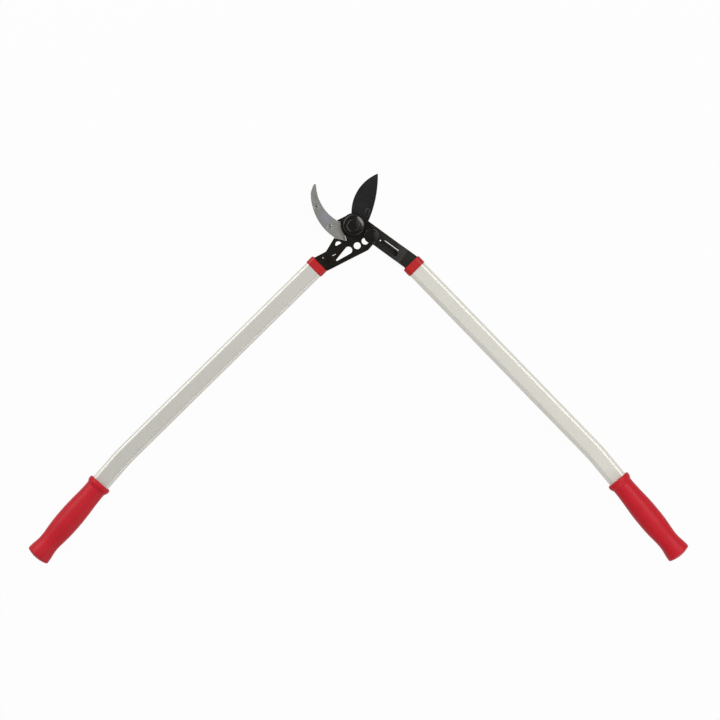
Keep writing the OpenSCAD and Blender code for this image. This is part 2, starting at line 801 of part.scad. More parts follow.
// Points of the grip's outline, as distance along it and radius
grip_outline = concat(
    [[0, 0]],
    [for (k = [0 : grip_round_steps])
        [flange_corner, flange_radius - flange_corner]
        + polar(flange_corner, 180 - 90 * k / grip_round_steps)],
    [for (i = [0 : len(grip_places) - 2])
        for (k = [0 : grip_steps - 1])
            [grip_places[i] + (grip_places[i + 1] - grip_places[i]) * k / grip_steps,
             eased(grip_radii[i], grip_radii[i + 1], pow(k / grip_steps, grip_holds[i]))]],
    [for (k = [0 : grip_round_steps])
        rim_centre + polar(grip_end_round, 90 - (90 - rim_angle) * k / grip_round_steps)],
    [for (k = [1 : grip_round_steps])
        [grip_length - grip_dome * pow(1 - k / grip_round_steps, 2),
         dome_radius * (1 - k / grip_round_steps)]]
);

// Moulded grip over the end of a tube
module grip(length) {
    color([0.73, 0.16, 0.2]) past_bend(length) difference() {
        translate([grip_start, 0, 0]) rotate([0, 90, 0]) rotate([0, 0, 90])
            rotate_extrude() polygon([for (p = grip_outline) [p.y, p.x]]);
        along_x(grip_start - overrun, tube_end + slide_gap) tube2d(slide_gap);
    }
}

module right_tang_pin() {
    color([0.5, 0.5, 0.5]) right_handle() tang_pin();
}

module right_tube() {
    right_handle() tube(right_tube_length);
}

module right_collar() {
    right_handle() collar();
}

module right_grip() {
    right_handle() grip(right_tube_length);
}

module left_tang_pin() {
    color([0.5, 0.5, 0.5]) left_handle() tang_pin();
}

module left_tube() {
    left_handle() tube(left_tube_length);
}

module left_collar() {
    left_handle() collar();
}

module left_grip() {
    left_handle() grip(left_tube_length);
}

anvil_arm();
anvil_hook();
anvil_screws();
pivot_bolt();
thrust_washer();
nut_washer();
pivot_nut();
pivot_cap();
right_tang_pin();
right_tube();
right_collar();
right_grip();
truss_frame();
blade();
pivot_bush();
blade_bolt();
blade_bolt_washer();
blade_bolt_cap();
left_tang_pin();
left_tube();
left_collar();
left_grip();
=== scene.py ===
"""Anvil lopper, lying open on a pale floor: bevelled forgings, moulded grips and their finishes.

All sizes are in metres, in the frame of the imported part. The pivot axis is +Z through the origin,
the lopper rests on z = 0, and the open jaws point along +Y.
"""

from __future__ import annotations

import logging
import math
from dataclasses import dataclass, field
from enum import Enum
from typing import Any, Callable, Mapping, Union

import bpy
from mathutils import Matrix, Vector

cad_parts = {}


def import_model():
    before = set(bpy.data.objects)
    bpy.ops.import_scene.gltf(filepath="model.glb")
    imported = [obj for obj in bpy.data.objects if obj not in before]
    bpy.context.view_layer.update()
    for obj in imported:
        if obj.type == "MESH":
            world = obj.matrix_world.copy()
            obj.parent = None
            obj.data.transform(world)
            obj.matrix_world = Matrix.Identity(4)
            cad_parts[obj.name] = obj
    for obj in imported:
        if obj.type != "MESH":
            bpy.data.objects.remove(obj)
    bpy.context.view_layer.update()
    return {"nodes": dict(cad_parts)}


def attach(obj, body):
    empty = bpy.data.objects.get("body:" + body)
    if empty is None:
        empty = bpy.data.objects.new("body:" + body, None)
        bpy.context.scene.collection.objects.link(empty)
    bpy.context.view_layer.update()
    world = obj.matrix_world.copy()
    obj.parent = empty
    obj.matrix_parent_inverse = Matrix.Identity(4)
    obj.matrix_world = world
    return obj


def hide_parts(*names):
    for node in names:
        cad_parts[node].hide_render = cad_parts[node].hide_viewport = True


LOG = logging.getLogger("lopper")

MM = 0.001
# Height of the plane in which blade, tubes and grips are centred
MID_Z = 17.3 * MM
# Distance under which two points of a mesh count as one
DOUBLES = 1e-6

Colour = tuple[float, float, float, float]
Point = tuple[float, float, float]
# Distance along a grip and radius there
Ring = tuple[float, float]
Socket = bpy.types.NodeSocket
# What an input takes: another node's output, or a plain value
Feed = Union[Socket, float, Point, Colour]
# Inputs of a shared effect by name
Inputs = Mapping[str, Socket]

WHITE: Colour = (1.0, 1.0, 1.0, 1.0)


def tone(red: int, green: int, blue: int) -> Colour:
    """Turns a colour as seen on a screen into the linear colour that a shader takes.

    Args:
        red: Red, from 0 to 255.
        green: Green, from 0 to 255.
        blue: Blue, from 0 to 255.

    Returns:
        The linear colour with full alpha.
    """

    def channel(value: int) -> float:
        """Linear level of one channel."""
        share = value / 255
        return share / 12.92 if share <= 0.04045 else ((share + 0.055) / 1.055) ** 2.4

    return channel(red), channel(green), channel(blue), 1.0


# Painted shade in grooves and corners, and how far from a groove's walls it reaches
CREVICE_SHADE_TONE = tone(58, 57, 54)
CREVICE_SHADE_REACH = 1.7 * MM


class Side(Enum):
    """The two handles, with the way that each one's grip bends."""

    LEFT = 1
    RIGHT = -1


class Effect(Enum):
    """Surface effects that several finishes share."""

    GRAIN = "grain"
    DRAWN_LINES = "drawn_lines"
    ARC_LINES = "arc_lines"
    EDGES = "edges"
    # Painted shade in grooves and corners
    CREVICES = "crevice_shade"
    RUBS = "rubs"
    SEAM = "seam"


@dataclass
class Graph:
    """A node tree with short calls that add nodes and join them."""

    tree: bpy.types.NodeTree

    def add(self, kind: str, **settings: Any) -> bpy.types.Node:
        """Adds a node and sets its properties.

        Args:
            kind: Blender's name of the node type.
            **settings: Properties of the node and their values.

        Returns:
            The new node.
        """
        node = self.tree.nodes.new(kind)
        for name, value in settings.items():
            setattr(node, name, value)
        return node

    def feed(self, socket: Socket, value: Feed) -> None:
        """Links another node's output into a socket, or sets the socket's own value.

        Args:
            socket: The input to feed.
            value: An output socket, or a plain value.
        """
        if isinstance(value, Socket):
            self.tree.links.new(value, socket)
        else:
            socket.default_value = value

    def math(self, operation: str, first: Feed, second: Feed = 0.0, clamp: bool = False) -> Socket:
        """Adds a Math node.

        Args:
            operation: Blender's name of the operation.
            first: First operand, a socket or a number.
            second: Second operand.
            clamp: Whether the result is kept between 0 and 1.

        Returns:
            The result's socket.
        """
        node = self.add("ShaderNodeMath", operation=operation, use_clamp=clamp)
        self.feed(node.inputs[0], first)
        self.feed(node.inputs[1], second)
        return node.outputs[0]

    def vector(self, operation: str, first: Feed, second: Feed | None = None) -> bpy.types.Node:
        """Adds a Vector Math node.

        Args:
            operation: Blender's name of the operation.
            first: First operand, a socket or a vector.
            second: Second operand, if the operation has one.

        Returns:
            The node, because its outputs differ between operations.
        """
        node = self.add("ShaderNodeVectorMath", operation=operation)
        self.feed(node.inputs[0], first)
        if second is not None:
            self.feed(node.inputs[1], second)
        return node

    def split(self, vector: Feed) -> tuple[Socket, Socket, Socket]:
        """Splits a vector into its three parts.

        Args:
            vector: The vector's socket.

        Returns:
            The sockets of x, y and z.
        """
        node = self.add("ShaderNodeSeparateXYZ")
        self.feed(node.inputs[0], vector)
        x, y, z = node.outputs
        return x, y, z

    def join(self, x: Feed, y: Feed, z: Feed = 0.0) -> Socket:
        """Joins three values to a vector.

        Args:
            x: First part.
            y: Second part.
            z: Third part.

        Returns:
            The vector's socket.
        """
        node = self.add("ShaderNodeCombineXYZ")
        for socket, value in zip(node.inputs, (x, y, z)):
            self.feed(socket, value)
        return node.outputs[0]

    def turned(self, vector: Feed, angle: Feed) -> Socket:
        """Turns a vector about the Z axis.

        Args:
            vector: The vector's socket.
            angle: Angle in radians.

        Returns:
            The turned vector's socket.
        """
        node = self.add("ShaderNodeVectorRotate", rotation_type="Z_AXIS")
        self.feed(node.inputs["Vector"], vector)
        self.feed(node.inputs["Angle"], angle)
        return node.outputs[0]

    def spread(
        self, value: Socket, low: Feed, high: Feed, to_low: Feed = 0.0, to_high: Feed = 1.0
    ) -> Socket:
        """Maps one range of values smoothly onto another.

        Args:
            value: The value's socket.
            low: Value that maps to to_low.
            high: Value that maps to to_high.
            to_low: Result at the low end.
            to_high: Result at the high end.

        Returns:
            The result's socket.
        """
        node = self.add("ShaderNodeMapRange", interpolation_type="SMOOTHSTEP")
        for socket, item in zip(node.inputs[:5], (value, low, high, to_low, to_high)):
            self.feed(socket, item)
        return node.outputs[0]

    def mix(self, share: Feed, first: Feed, second: Feed) -> Socket:
        """Mixes two colours.

        Args:
            share: Share of the second colour.
            first: First colour, a socket or a value.
            second: Second colour.

        Returns:
            The mixed colour's socket.
        """
        node = self.add("ShaderNodeMix", data_type="RGBA")
        # The node's colour sockets go by number, because other types use the same names
        self.feed(node.inputs[0], share)
        self.feed(node.inputs[6], first)
        self.feed(node.inputs[7], second)
        return node.outputs[2]

    def lay(self, base: Feed, over: Feed, mask: Socket, strength: float) -> Socket:
        """Lays one colour over another where a mask says so.

        Args:
            base: Colour underneath, a socket or a value.
            over: Colour on top.
            mask: Socket that says where the top colour lies.
            strength: Share of the top colour where the mask is full.

        Returns:
            The mixed colour's socket.
        """
        return self.mix(self.math("MULTIPLY", mask, strength), base, over)

    def noise(self, vector: Feed, scale: Feed, detail: float, roughness: float) -> Socket:
        """Adds a Noise Texture.

        Args:
            vector: Coordinates.
            scale: Waves per metre.
            detail: Number of finer layers.
            roughness: Share of the finer layers.

        Returns:
            The noise value's socket.
        """
        node = self.add("ShaderNodeTexNoise")
        self.feed(node.inputs["Vector"], vector)
        self.feed(node.inputs["Scale"], scale)
        self.feed(node.inputs["Detail"], detail)
        self.feed(node.inputs["Roughness"], roughness)
        return node.outputs[0]

    def place(self) -> Socket:
        """Coordinates of the piece's own frame."""
        return self.add("ShaderNodeTexCoord").outputs["Object"]

    def bump(
        self, height: Socket, distance: float, strength: float, normal: Socket | None = None
    ) -> Socket:
        """Adds a Bump node.

        Args:
            height: Height's socket.
            distance: Depth of the relief in metres.
            strength: Strength of the effect.
            normal: Normal that the relief is laid over, if any.

        Returns:
            The normal's socket.
        """
        node = self.add("ShaderNodeBump")
        self.feed(node.inputs["Height"], height)
        node.inputs["Distance"].default_value = distance
        node.inputs["Strength"].default_value = strength
        if normal is not None:
            self.feed(node.inputs["Normal"], normal)
        return node.outputs["Normal"]


@dataclass
class EffectShelf:
    """Builds each shared effect once, as a node group, and places it in materials."""

    made: dict[Effect, bpy.types.NodeTree] = field(default_factory=dict)

    def use(self, graph: Graph, effect: Effect, **inputs: Feed) -> Socket:
        """Places an effect in a material.

        Args:
            graph: The material's graph.
            effect: The effect to place.
            **inputs: Values or sockets for the effect's inputs, by name.

        Returns:
            The socket of the effect's mask or value.
        """
        if effect not in self.made:
            self.made[effect] = self._build(effect)
        node = graph.add("ShaderNodeGroup", node_tree=self.made[effect])
        for name, value in inputs.items():
            graph.feed(node.inputs[name], value)
        return node.outputs[0]

    def _build(self, effect: Effect) -> bpy.types.NodeTree:
        """Builds one effect's group.

        Args:
            effect: The effect to build.

        Returns:
            The finished node group.
        """
        recipes: dict[Effect, tuple[tuple[str, ...], Callable[[Graph, Inputs], Socket]]] = {
            Effect.GRAIN: (("place", "scale"), self._grain),
            Effect.DRAWN_LINES: (("place", "turn", "scale", "stretch"), self._drawn_lines),
            Effect.ARC_LINES: (("place", "centre", "scale"), self._arc_lines),
            Effect.EDGES: (("place", "radius", "breakup"), self._edges),
            Effect.CREVICES: (("reach",), self._crevice_shade),
            Effect.RUBS: (("place", "scale", "cover"), self._rubs),
            Effect.SEAM: (("place", "level", "half_width"), self._seam),
        }
        names, recipe = recipes[effect]
        tree = bpy.data.node_groups.new(effect.value, "ShaderNodeTree")
        for name in names:
            kind = "NodeSocketVector" if name in ("place", "centre") else "NodeSocketFloat"
            tree.interface.new_socket(name, in_out="INPUT", socket_type=kind)
        tree.interface.new_socket("mask", in_out="OUTPUT", socket_type="NodeSocketFloat")
        graph = Graph(tree)
        entry = graph.add("NodeGroupInput")
        leaving = graph.add("NodeGroupOutput")
        graph.feed(leaving.inputs[0], recipe(graph, entry.outputs))
        return tree

    @staticmethod
    def _grain(graph: Graph, given: Inputs) -> Socket:
        """Soft random patches, spread over the full range."""
        patches = graph.noise(given["place"], given["scale"], detail=4.0, roughness=0.6)
        return graph.spread(patches, low=0.3, high=0.7)

    @staticmethod
    def _drawn_lines(graph: Graph, given: Inputs) -> Socket:
        """Long straight lines, as left by drawing or brushing along one direction.

        Args:
            graph: The effect's graph.
            given: Its inputs.

        Returns:
            The lines' socket.
        """
        back = graph.math("MULTIPLY", given["turn"], -1.0)
        x, y, z = graph.split(graph.turned(given["place"], back))
        along = graph.math("DIVIDE", x, given["stretch"])
        lines = graph.noise(graph.join(along, y, z), given["scale"], detail=5.0, roughness=0.65)
        return graph.spread(lines, low=0.28, high=0.72)

    @staticmethod
    def _arc_lines(graph: Graph, given: Inputs) -> Socket:
        """Long lines that follow circles round a centre.

        Args:
            graph: The effect's graph.
            given: Its inputs.

        Returns:
            The lines' socket.
        """
        per_radian = 1.6 * MM
        depth_share = 0.3
        x, y, z = graph.split(graph.vector("SUBTRACT", given["place"], given["centre"]).outputs[0])
        radius = graph.vector("LENGTH", graph.join(x, y)).outputs["Value"]
        slow = graph.math("MULTIPLY", graph.math("ARCTAN2", y, x), per_radian)
        deep = graph.math("MULTIPLY", z, depth_share)
        coils = graph.join(radius, slow, deep)
        lines = graph.noise(coils, given["scale"], detail=6.0, roughness=0.7)
        return graph.spread(lines, low=0.28, high=0.72)

    @staticmethod
    def _edges(graph: Graph, given: Inputs) -> Socket:
        """Edges of the piece, broken up in random patches.

        Args:
            graph: The effect's graph.
            given: Its inputs.

        Returns:
            The edges' socket.
        """
        soft = graph.add("ShaderNodeBevel", samples=6)
        graph.feed(soft.inputs["Radius"], given["radius"])
        true = graph.add("ShaderNodeNewGeometry").outputs["Normal"]
        same = graph.vector("DOT_PRODUCT", soft.outputs[0], true).outputs["Value"]
        edge = graph.spread(graph.math("SUBTRACT", 1.0, same), low=0.01, high=0.16)
        patches = graph.noise(given["place"], scale=420.0, detail=4.0, roughness=0.6)
        broken = graph.spread(patches, low=given["breakup"], high=0.75)
        return graph.math("MULTIPLY", edge, broken, clamp=True)

    @staticmethod
    def _crevice_shade(graph: Graph, given: Inputs) -> Socket:
        """Grooves and corners that get painted shade, found by ambient occlusion.

        Args:
            graph: The effect's graph.
            given: Its inputs.

        Returns:
            The painted shade's socket.
        """
        openness = graph.add("ShaderNodeAmbientOcclusion", samples=8)
        graph.feed(openness.inputs["Distance"], given["reach"])
        return graph.spread(openness.outputs["AO"], low=0.85, high=0.35)

    @staticmethod
    def _rubs(graph: Graph, given: Inputs) -> Socket:
        """Fine short rub marks in loose patches.

        Args:
            graph: The effect's graph.
            given: Its inputs.

        Returns:
            The marks' socket.
        """
        marks_per_patch = 14.0
        fine = graph.math("MULTIPLY", given["scale"], marks_per_patch)
        marks = graph.noise(given["place"], fine, detail=2.0, roughness=0.4)
        patches = graph.noise(given["place"], given["scale"], detail=3.0, roughness=0.5)
        return graph.math(
            "MULTIPLY",
            graph.spread(marks, low=0.62, high=0.7),
            graph.spread(patches, low=given["cover"], high=0.72),
            clamp=True,
        )

    @staticmethod
    def _seam(graph: Graph, given: Inputs) -> Socket:
        """The parting line of a moulding, at one level.

        Args:
            graph: The effect's graph.
            given: Its inputs.

        Returns:
            The line's socket.
        """
        _, _, z = graph.split(given["place"])
        away = graph.math("ABSOLUTE", graph.math("SUBTRACT", z, given["level"]))
        return graph.math("SUBTRACT", 1.0, graph.spread(away, low=0.0, high=given["half_width"]))


SHELF = EffectShelf()


@dataclass(frozen=True)
class Finish:
    """A surface finish. Each kind of finish paints its own material."""

    name: str
    colour: Colour
    roughness: float

    def material(self) -> bpy.types.Material:
        """Makes the finish's material, unless it is already made.

        Returns:
            The material.
        """
        name = f"{self.name}_finish"
        found = bpy.data.materials.get(name)
        if found is not None:
            return found
        made = bpy.data.materials.new(name)
        made.use_nodes = True
        made.diffuse_color = self.colour
        self.paint(Graph(made.node_tree), made.node_tree.nodes["Principled BSDF"])
        return made

    def paint(self, graph: Graph, shader: bpy.types.Node) -> None:
        """Joins the finish's nodes to the shader.

        Args:
            graph: The material's graph.
            shader: Its Principled BSDF.
        """
        raise NotImplementedError

    def shade(self, share: float) -> Colour:
        """The finish's own colour, made darker or lighter by a factor."""
        red, green, blue, alpha = self.colour
        return share * red, share * green, share * blue, alpha

    def rough(self, graph: Graph, shader: bpy.types.Node, mask: Socket, swing: float) -> None:
        """Lets the roughness swing about its level.

        Args:
            graph: The material's graph.
            shader: Its Principled BSDF.
            mask: Socket that says where it is rougher.
            swing: How far it swings to each side.
        """
        level = graph.spread(mask, 0.0, 1.0, self.roughness - swing, self.roughness + swing)
        graph.feed(shader.inputs["Roughness"], level)


@dataclass(frozen=True)
class BlackCoat(Finish):
    """Baked black coat on steel, lighter along the edges, partly worn and partly painted highlight."""

    # Tone of rub marks, worn edges and painted edge highlight
    wear_and_highlight_tone: Colour = tone(128, 125, 120)
    deep_share: float = 0.72
    pale_share: float = 1.3
    bare: float = 0.6
    # Reach and breakup of the lighter edges, partly wear and partly painted highlight
    wear_and_highlight_radius: float = 0.8 * MM
    wear_and_highlight_breakup: float = 0.42
    grain_scale: float = 900.0
    cloud_scale: float = 55.0
    relief: float = 0.05 * MM
    specular: float = 0.22

    def wear_and_highlight(self, graph: Graph, where: Socket) -> Socket:
        """Says where the edges are lighter, partly wear and partly painted highlight.

        Args:
            graph: The material's graph.
            where: Socket of the coordinates.

        Returns:
            The mask's socket.
        """
        return SHELF.use(
            graph, Effect.EDGES, place=where, radius=self.wear_and_highlight_radius, breakup=self.wear_and_highlight_breakup
        )

    def paint(self, graph: Graph, shader: bpy.types.Node) -> None:
        """Joins the coat's mottling, wear, painted edge highlight and fine relief to the shader.

        Args:
            graph: The material's graph.
            shader: Its Principled BSDF.
        """
        where = graph.place()
        fine = SHELF.use(graph, Effect.GRAIN, place=where, scale=self.grain_scale)
        broad = SHELF.use(graph, Effect.GRAIN, place=where, scale=self.cloud_scale)
        edges = self.wear_and_highlight(graph, where)
        rubs = SHELF.use(graph, Effect.RUBS, place=where, scale=75.0, cover=0.5)
        pale = self.shade(self.pale_share)
        coat = graph.mix(broad, self.shade(self.deep_share), pale)
        coat = graph.lay(coat, pale, fine, strength=0.35)
        coat = graph.lay(coat, self.wear_and_highlight_tone, rubs, strength=0.3)
        # Lighter edges, partly worn coat and partly painted highlight
        coat = graph.lay(coat, self.wear_and_highlight_tone, edges, strength=0.55)
        graph.feed(shader.inputs["Base Color"], coat)
        graph.feed(shader.inputs["Metallic"], graph.math("MULTIPLY", edges, self.bare))
        shader.inputs["Specular IOR Level"].default_value = self.specular
        self.rough(graph, shader, fine, swing=0.07)
        graph.feed(shader.inputs["Normal"], graph.bump(fine, self.relief, strength=0.35))


@dataclass(frozen=True)
class StampedCoat(BlackCoat):
    """Black coat of a plate, with a painted highlight round the rim of its stamped dimple."""

    centre: Point = (18.8 * MM, 18.0 * MM, 0.0)
    turn: float = math.radians(70.0)
    length: float = 6.4 * MM
    width: float = 5.0 * MM
    rim: float = 0.75 * MM
    bright_end_share: float = 0.6
    dull_end: float = 0.25

    def wear_and_highlight(self, graph: Graph, where: Socket) -> Socket:
        """Joins the edge mask and a painted highlight on the dimple's rim, brightest at one end.

        Args:
            graph: The material's graph.
            where: Socket of the coordinates.

        Returns:
            The mask's socket.
        """
        from_centre = graph.vector("SUBTRACT", where, self.centre).outputs[0]
        along, across, _ = graph.split(graph.turned(from_centre, -self.turn))
        beyond = graph.math("SUBTRACT", graph.math("ABSOLUTE", along), self.length / 2)
        flat = graph.join(graph.math("MAXIMUM", beyond, 0.0), across)
        reach = graph.vector("LENGTH", flat).outputs["Value"]
        away = graph.math("ABSOLUTE", graph.math("SUBTRACT", reach, self.width / 2))
        # Painted highlight round the dimple's rim, brightest at one end
        ring = graph.spread(away, low=0.0, high=self.rim, to_low=1.0, to_high=0.0)
        bright_end = self.bright_end_share * self.length
        lit = graph.spread(along, low=-self.length / 2, high=bright_end, to_low=self.dull_end)
        return graph.math("MAXIMUM", graph.math("MULTIPLY", ring, lit), super().wear_and_highlight(graph, where))


@dataclass(frozen=True)
class BrushedSteel(Finish):
    """Bare steel, brushed along arcs round a centre, with faint warm and cool patches."""

    cool: Colour = tone(193, 194, 209)
    warm: Colour = tone(203, 197, 180)
    # Tone of the painted highlight along the edges
    edge_highlight: Colour = tone(226, 225, 221)
    dark_share: float = 0.66
    cool_place: Point = (-38.9 * MM, 9.8 * MM, 22.3 * MM)
    warm_place: Point = (-22.0 * MM, -11.0 * MM, 22.3 * MM)
    tint_reach: float = 15.0 * MM
    centre: Point = (14.2 * MM, 45.0 * MM, 0.0)
    line_scale: float = 2600.0
    line_depth: float = 0.02 * MM
    edge_radius: float = 0.4 * MM

    def near(self, graph: Graph, where: Socket, centre: Point) -> Socket:
        """Makes a soft round patch.

        Args:
            graph: The material's graph.
            where: Socket of the coordinates.
            centre: Middle of the patch.

        Returns:
            The patch's socket, 1 at its middle.
        """
        away = graph.vector("DISTANCE", where, centre).outputs["Value"]
        return graph.spread(away, low=0.0, high=self.tint_reach, to_low=1.0, to_high=0.0)

    def paint(self, graph: Graph, shader: bpy.types.Node) -> None:
        """Joins the brush lines, the patches, the painted edge highlight and the painted shade in
        grooves to the shader.

        Args:
            graph: The material's graph.
            shader: Its Principled BSDF.
        """
        where = graph.place()
        lines = SHELF.use(
            graph, Effect.ARC_LINES, place=where, centre=self.centre, scale=self.line_scale
        )
        fine = SHELF.use(graph, Effect.GRAIN, place=where, scale=700.0)
        broad = SHELF.use(graph, Effect.GRAIN, place=where, scale=38.0)
        edges = SHELF.use(graph, Effect.EDGES, place=where, radius=self.edge_radius, breakup=0.2)
        groove_shade = SHELF.use(graph, Effect.CREVICES, reach=CREVICE_SHADE_REACH)
        dark = self.shade(self.dark_share)
        metal = graph.mix(self.near(graph, where, self.cool_place), self.colour, self.cool)
        metal = graph.mix(self.near(graph, where, self.warm_place), metal, self.warm)
        metal = graph.lay(metal, self.cool, broad, strength=0.3)
        metal = graph.lay(metal, dark, lines, strength=0.38)
        metal = graph.lay(metal, dark, fine, strength=0.16)
        # Painted highlight along the edges
        metal = graph.lay(metal, self.edge_highlight, edges, strength=0.5)
        # Painted shade in grooves and corners, darker where ambient occlusion finds them
        graph.feed(shader.inputs["Base Color"], graph.mix(groove_shade, metal, CREVICE_SHADE_TONE))
        shader.inputs["Metallic"].default_value = 1.0
        self.rough(graph, shader, lines, swing=0.1)
        graph.feed(shader.inputs["Normal"], graph.bump(lines, self.line_depth, strength=0.5))


@dataclass(frozen=True)
class PlatedMetal(Finish):
    """Plated or plain turned metal of small fasteners."""

    dull_share: float = 0.6
    grain_scale: float = 1500.0
    grain_depth: float = 0.01 * MM

    def paint(self, graph: Graph, shader: bpy.types.Node) -> None:
        """Joins a fine grain, dulled patches and painted shade in the grooves to the shader.

        Args:
            graph: The material's graph.
            shader: Its Principled BSDF.
        """
        where = graph.place()
        fine = SHELF.use(graph, Effect.GRAIN, place=where, scale=self.grain_scale)
        broad = SHELF.use(graph, Effect.GRAIN, place=where, scale=160.0)
        groove_shade = SHELF.use(graph, Effect.CREVICES, reach=CREVICE_SHADE_REACH)
        dull = self.shade(self.dull_share)
        metal = graph.lay(self.colour, dull, broad, strength=0.45)
        metal = graph.lay(metal, dull, fine, strength=0.25)
        # Painted shade in grooves and corners, darker where ambient occlusion finds them
        graph.feed(shader.inputs["Base Color"], graph.mix(groove_shade, metal, CREVICE_SHADE_TONE))
        shader.inputs["Metallic"].default_value = 1.0
        self.rough(graph, shader, fine, swing=0.08)
        graph.feed(shader.inputs["Normal"], graph.bump(fine, self.grain_depth, strength=0.4))


@dataclass(frozen=True)
class AnodisedTube(Finish):
    """Satin anodised aluminium with faint drawing lines along the tube."""

    turn: float = 0.0
    metallic: float = 0.36
    line_share: float = 0.96
    cloud_share: float = 0.92
    rubbed: Colour = tone(160, 159, 155)
    relief: float = 0.003 * MM
    ridge_share: float = 0.7

    def paint(self, graph: Graph, shader: bpy.types.Node) -> None:
        """Joins the drawing lines, soft cloudiness and rub marks to the shader.

        Args:
            graph: The material's graph.
            shader: Its Principled BSDF.
        """
        where = graph.place()
        lines = SHELF.use(
            graph, Effect.DRAWN_LINES, place=where, turn=self.turn, scale=1900.0, stretch=90.0
        )
        cloud = SHELF.use(graph, Effect.GRAIN, place=where, scale=24.0)
        fine = SHELF.use(graph, Effect.GRAIN, place=where, scale=2400.0)
        rubs = SHELF.use(graph, Effect.RUBS, place=where, scale=60.0, cover=0.56)
        metal = graph.lay(self.colour, self.shade(self.line_share), lines, strength=0.6)
        metal = graph.lay(metal, self.shade(self.cloud_share), cloud, strength=0.35)
        metal = graph.lay(metal, self.rubbed, rubs, strength=0.15)
        graph.feed(shader.inputs["Base Color"], metal)
        shader.inputs["Metallic"].default_value = self.metallic
        self.rough(graph, shader, lines, swing=0.03)
        ridges = graph.math("MULTIPLY", lines, self.ridge_share)
        grit = graph.math("MULTIPLY", fine, 1.0 - self.ridge_share)
        height = graph.math("ADD", ridges, grit)
        graph.feed(shader.inputs["Normal"], graph.bump(height, self.relief, strength=0.25))


@dataclass(frozen=True)
class Moulding(Finish):
    """Moulded plastic with a fine matt skin, a parting line, faint handling marks and a painted
    highlight along its edges.
    """

    # Light tone of the handling marks and of the painted edge highlight
    pale: Colour = tone(205, 66, 76)
    deep_share: float = 0.84
    seam_level: float = MID_Z
    seam_half_width: float = 0.22 * MM
    seam_height: float = 0.06 * MM
    edge_radius: float = 0.7 * MM
    specular: float = 0.5
    skin_scale: float = 1500.0
    skin_depth: float = 0.03 * MM

    def paint(self, graph: Graph, shader: bpy.types.Node) -> None:
        """Joins the skin's relief, the parting line, the marks and the painted edge highlight to the
        shader.

        Args:
            graph: The material's graph.
            shader: Its Principled BSDF.
        """
        where = graph.place()
        skin = SHELF.use(graph, Effect.GRAIN, place=where, scale=self.skin_scale)
        cloud = SHELF.use(graph, Effect.GRAIN, place=where, scale=70.0)
        seam = SHELF.use(
            graph, Effect.SEAM, place=where, level=self.seam_level, half_width=self.seam_half_width
        )
        rubs = SHELF.use(graph, Effect.RUBS, place=where, scale=90.0, cover=0.55)
        edges = SHELF.use(graph, Effect.EDGES, place=where, radius=self.edge_radius, breakup=0.35)
        deep = self.shade(self.deep_share)
        plastic = graph.lay(self.colour, deep, cloud, strength=0.5)
        plastic = graph.lay(plastic, self.pale, rubs, strength=0.16)
        # Painted highlight along the edges
        plastic = graph.lay(plastic, self.pale, edges, strength=0.25)
        plastic = graph.lay(plastic, deep, seam, strength=0.35)
        graph.feed(shader.inputs["Base Color"], plastic)
        shader.inputs["Specular IOR Level"].default_value = self.specular
        self.rough(graph, shader, skin, swing=0.06)
        relief = graph.bump(skin, self.skin_depth, strength=0.3)
        ridge = graph.bump(seam, self.seam_height, strength=0.8, normal=relief)
        graph.feed(shader.inputs["Normal"], ridge)


FRAME_COAT = BlackCoat("frame_coat", tone(19, 15, 11), roughness=0.42, specular=0.14)
ARM_COAT = BlackCoat("arm_coat", tone(34, 31, 27), roughness=0.45, specular=0.18)
# The blade's coat carries a painted highlight round its dimple's rim
BLADE_COAT = StampedCoat(
    "blade_coat",
    tone(27, 27, 27),
    roughness=0.55,
    wear_and_highlight_radius=0.5 * MM,
    wear_and_highlight_breakup=0.3,
    specular=0.12,
)
HOOK_STEEL = BrushedSteel("hook_steel", tone(186, 184, 178), roughness=0.4)
ZINC = PlatedMetal("zinc_plate", tone(196, 196, 194), roughness=0.36)
BRONZE = PlatedMetal("bearing_bronze", tone(176, 134, 74), roughness=0.38)
CAP_BLACK = Moulding(
    "cap_black",
    tone(14, 9, 5),
    roughness=0.13,
    pale=tone(34, 29, 24),
    seam_height=0.0,
    specular=0.46,
    skin_depth=0.008 * MM,
)
GRIP_RED = Moulding("grip_red", tone(183, 15, 32), roughness=0.48, specular=0.25)
COLLAR_RED = Moulding("collar_red", tone(172, 22, 26), roughness=0.38, specular=0.28)


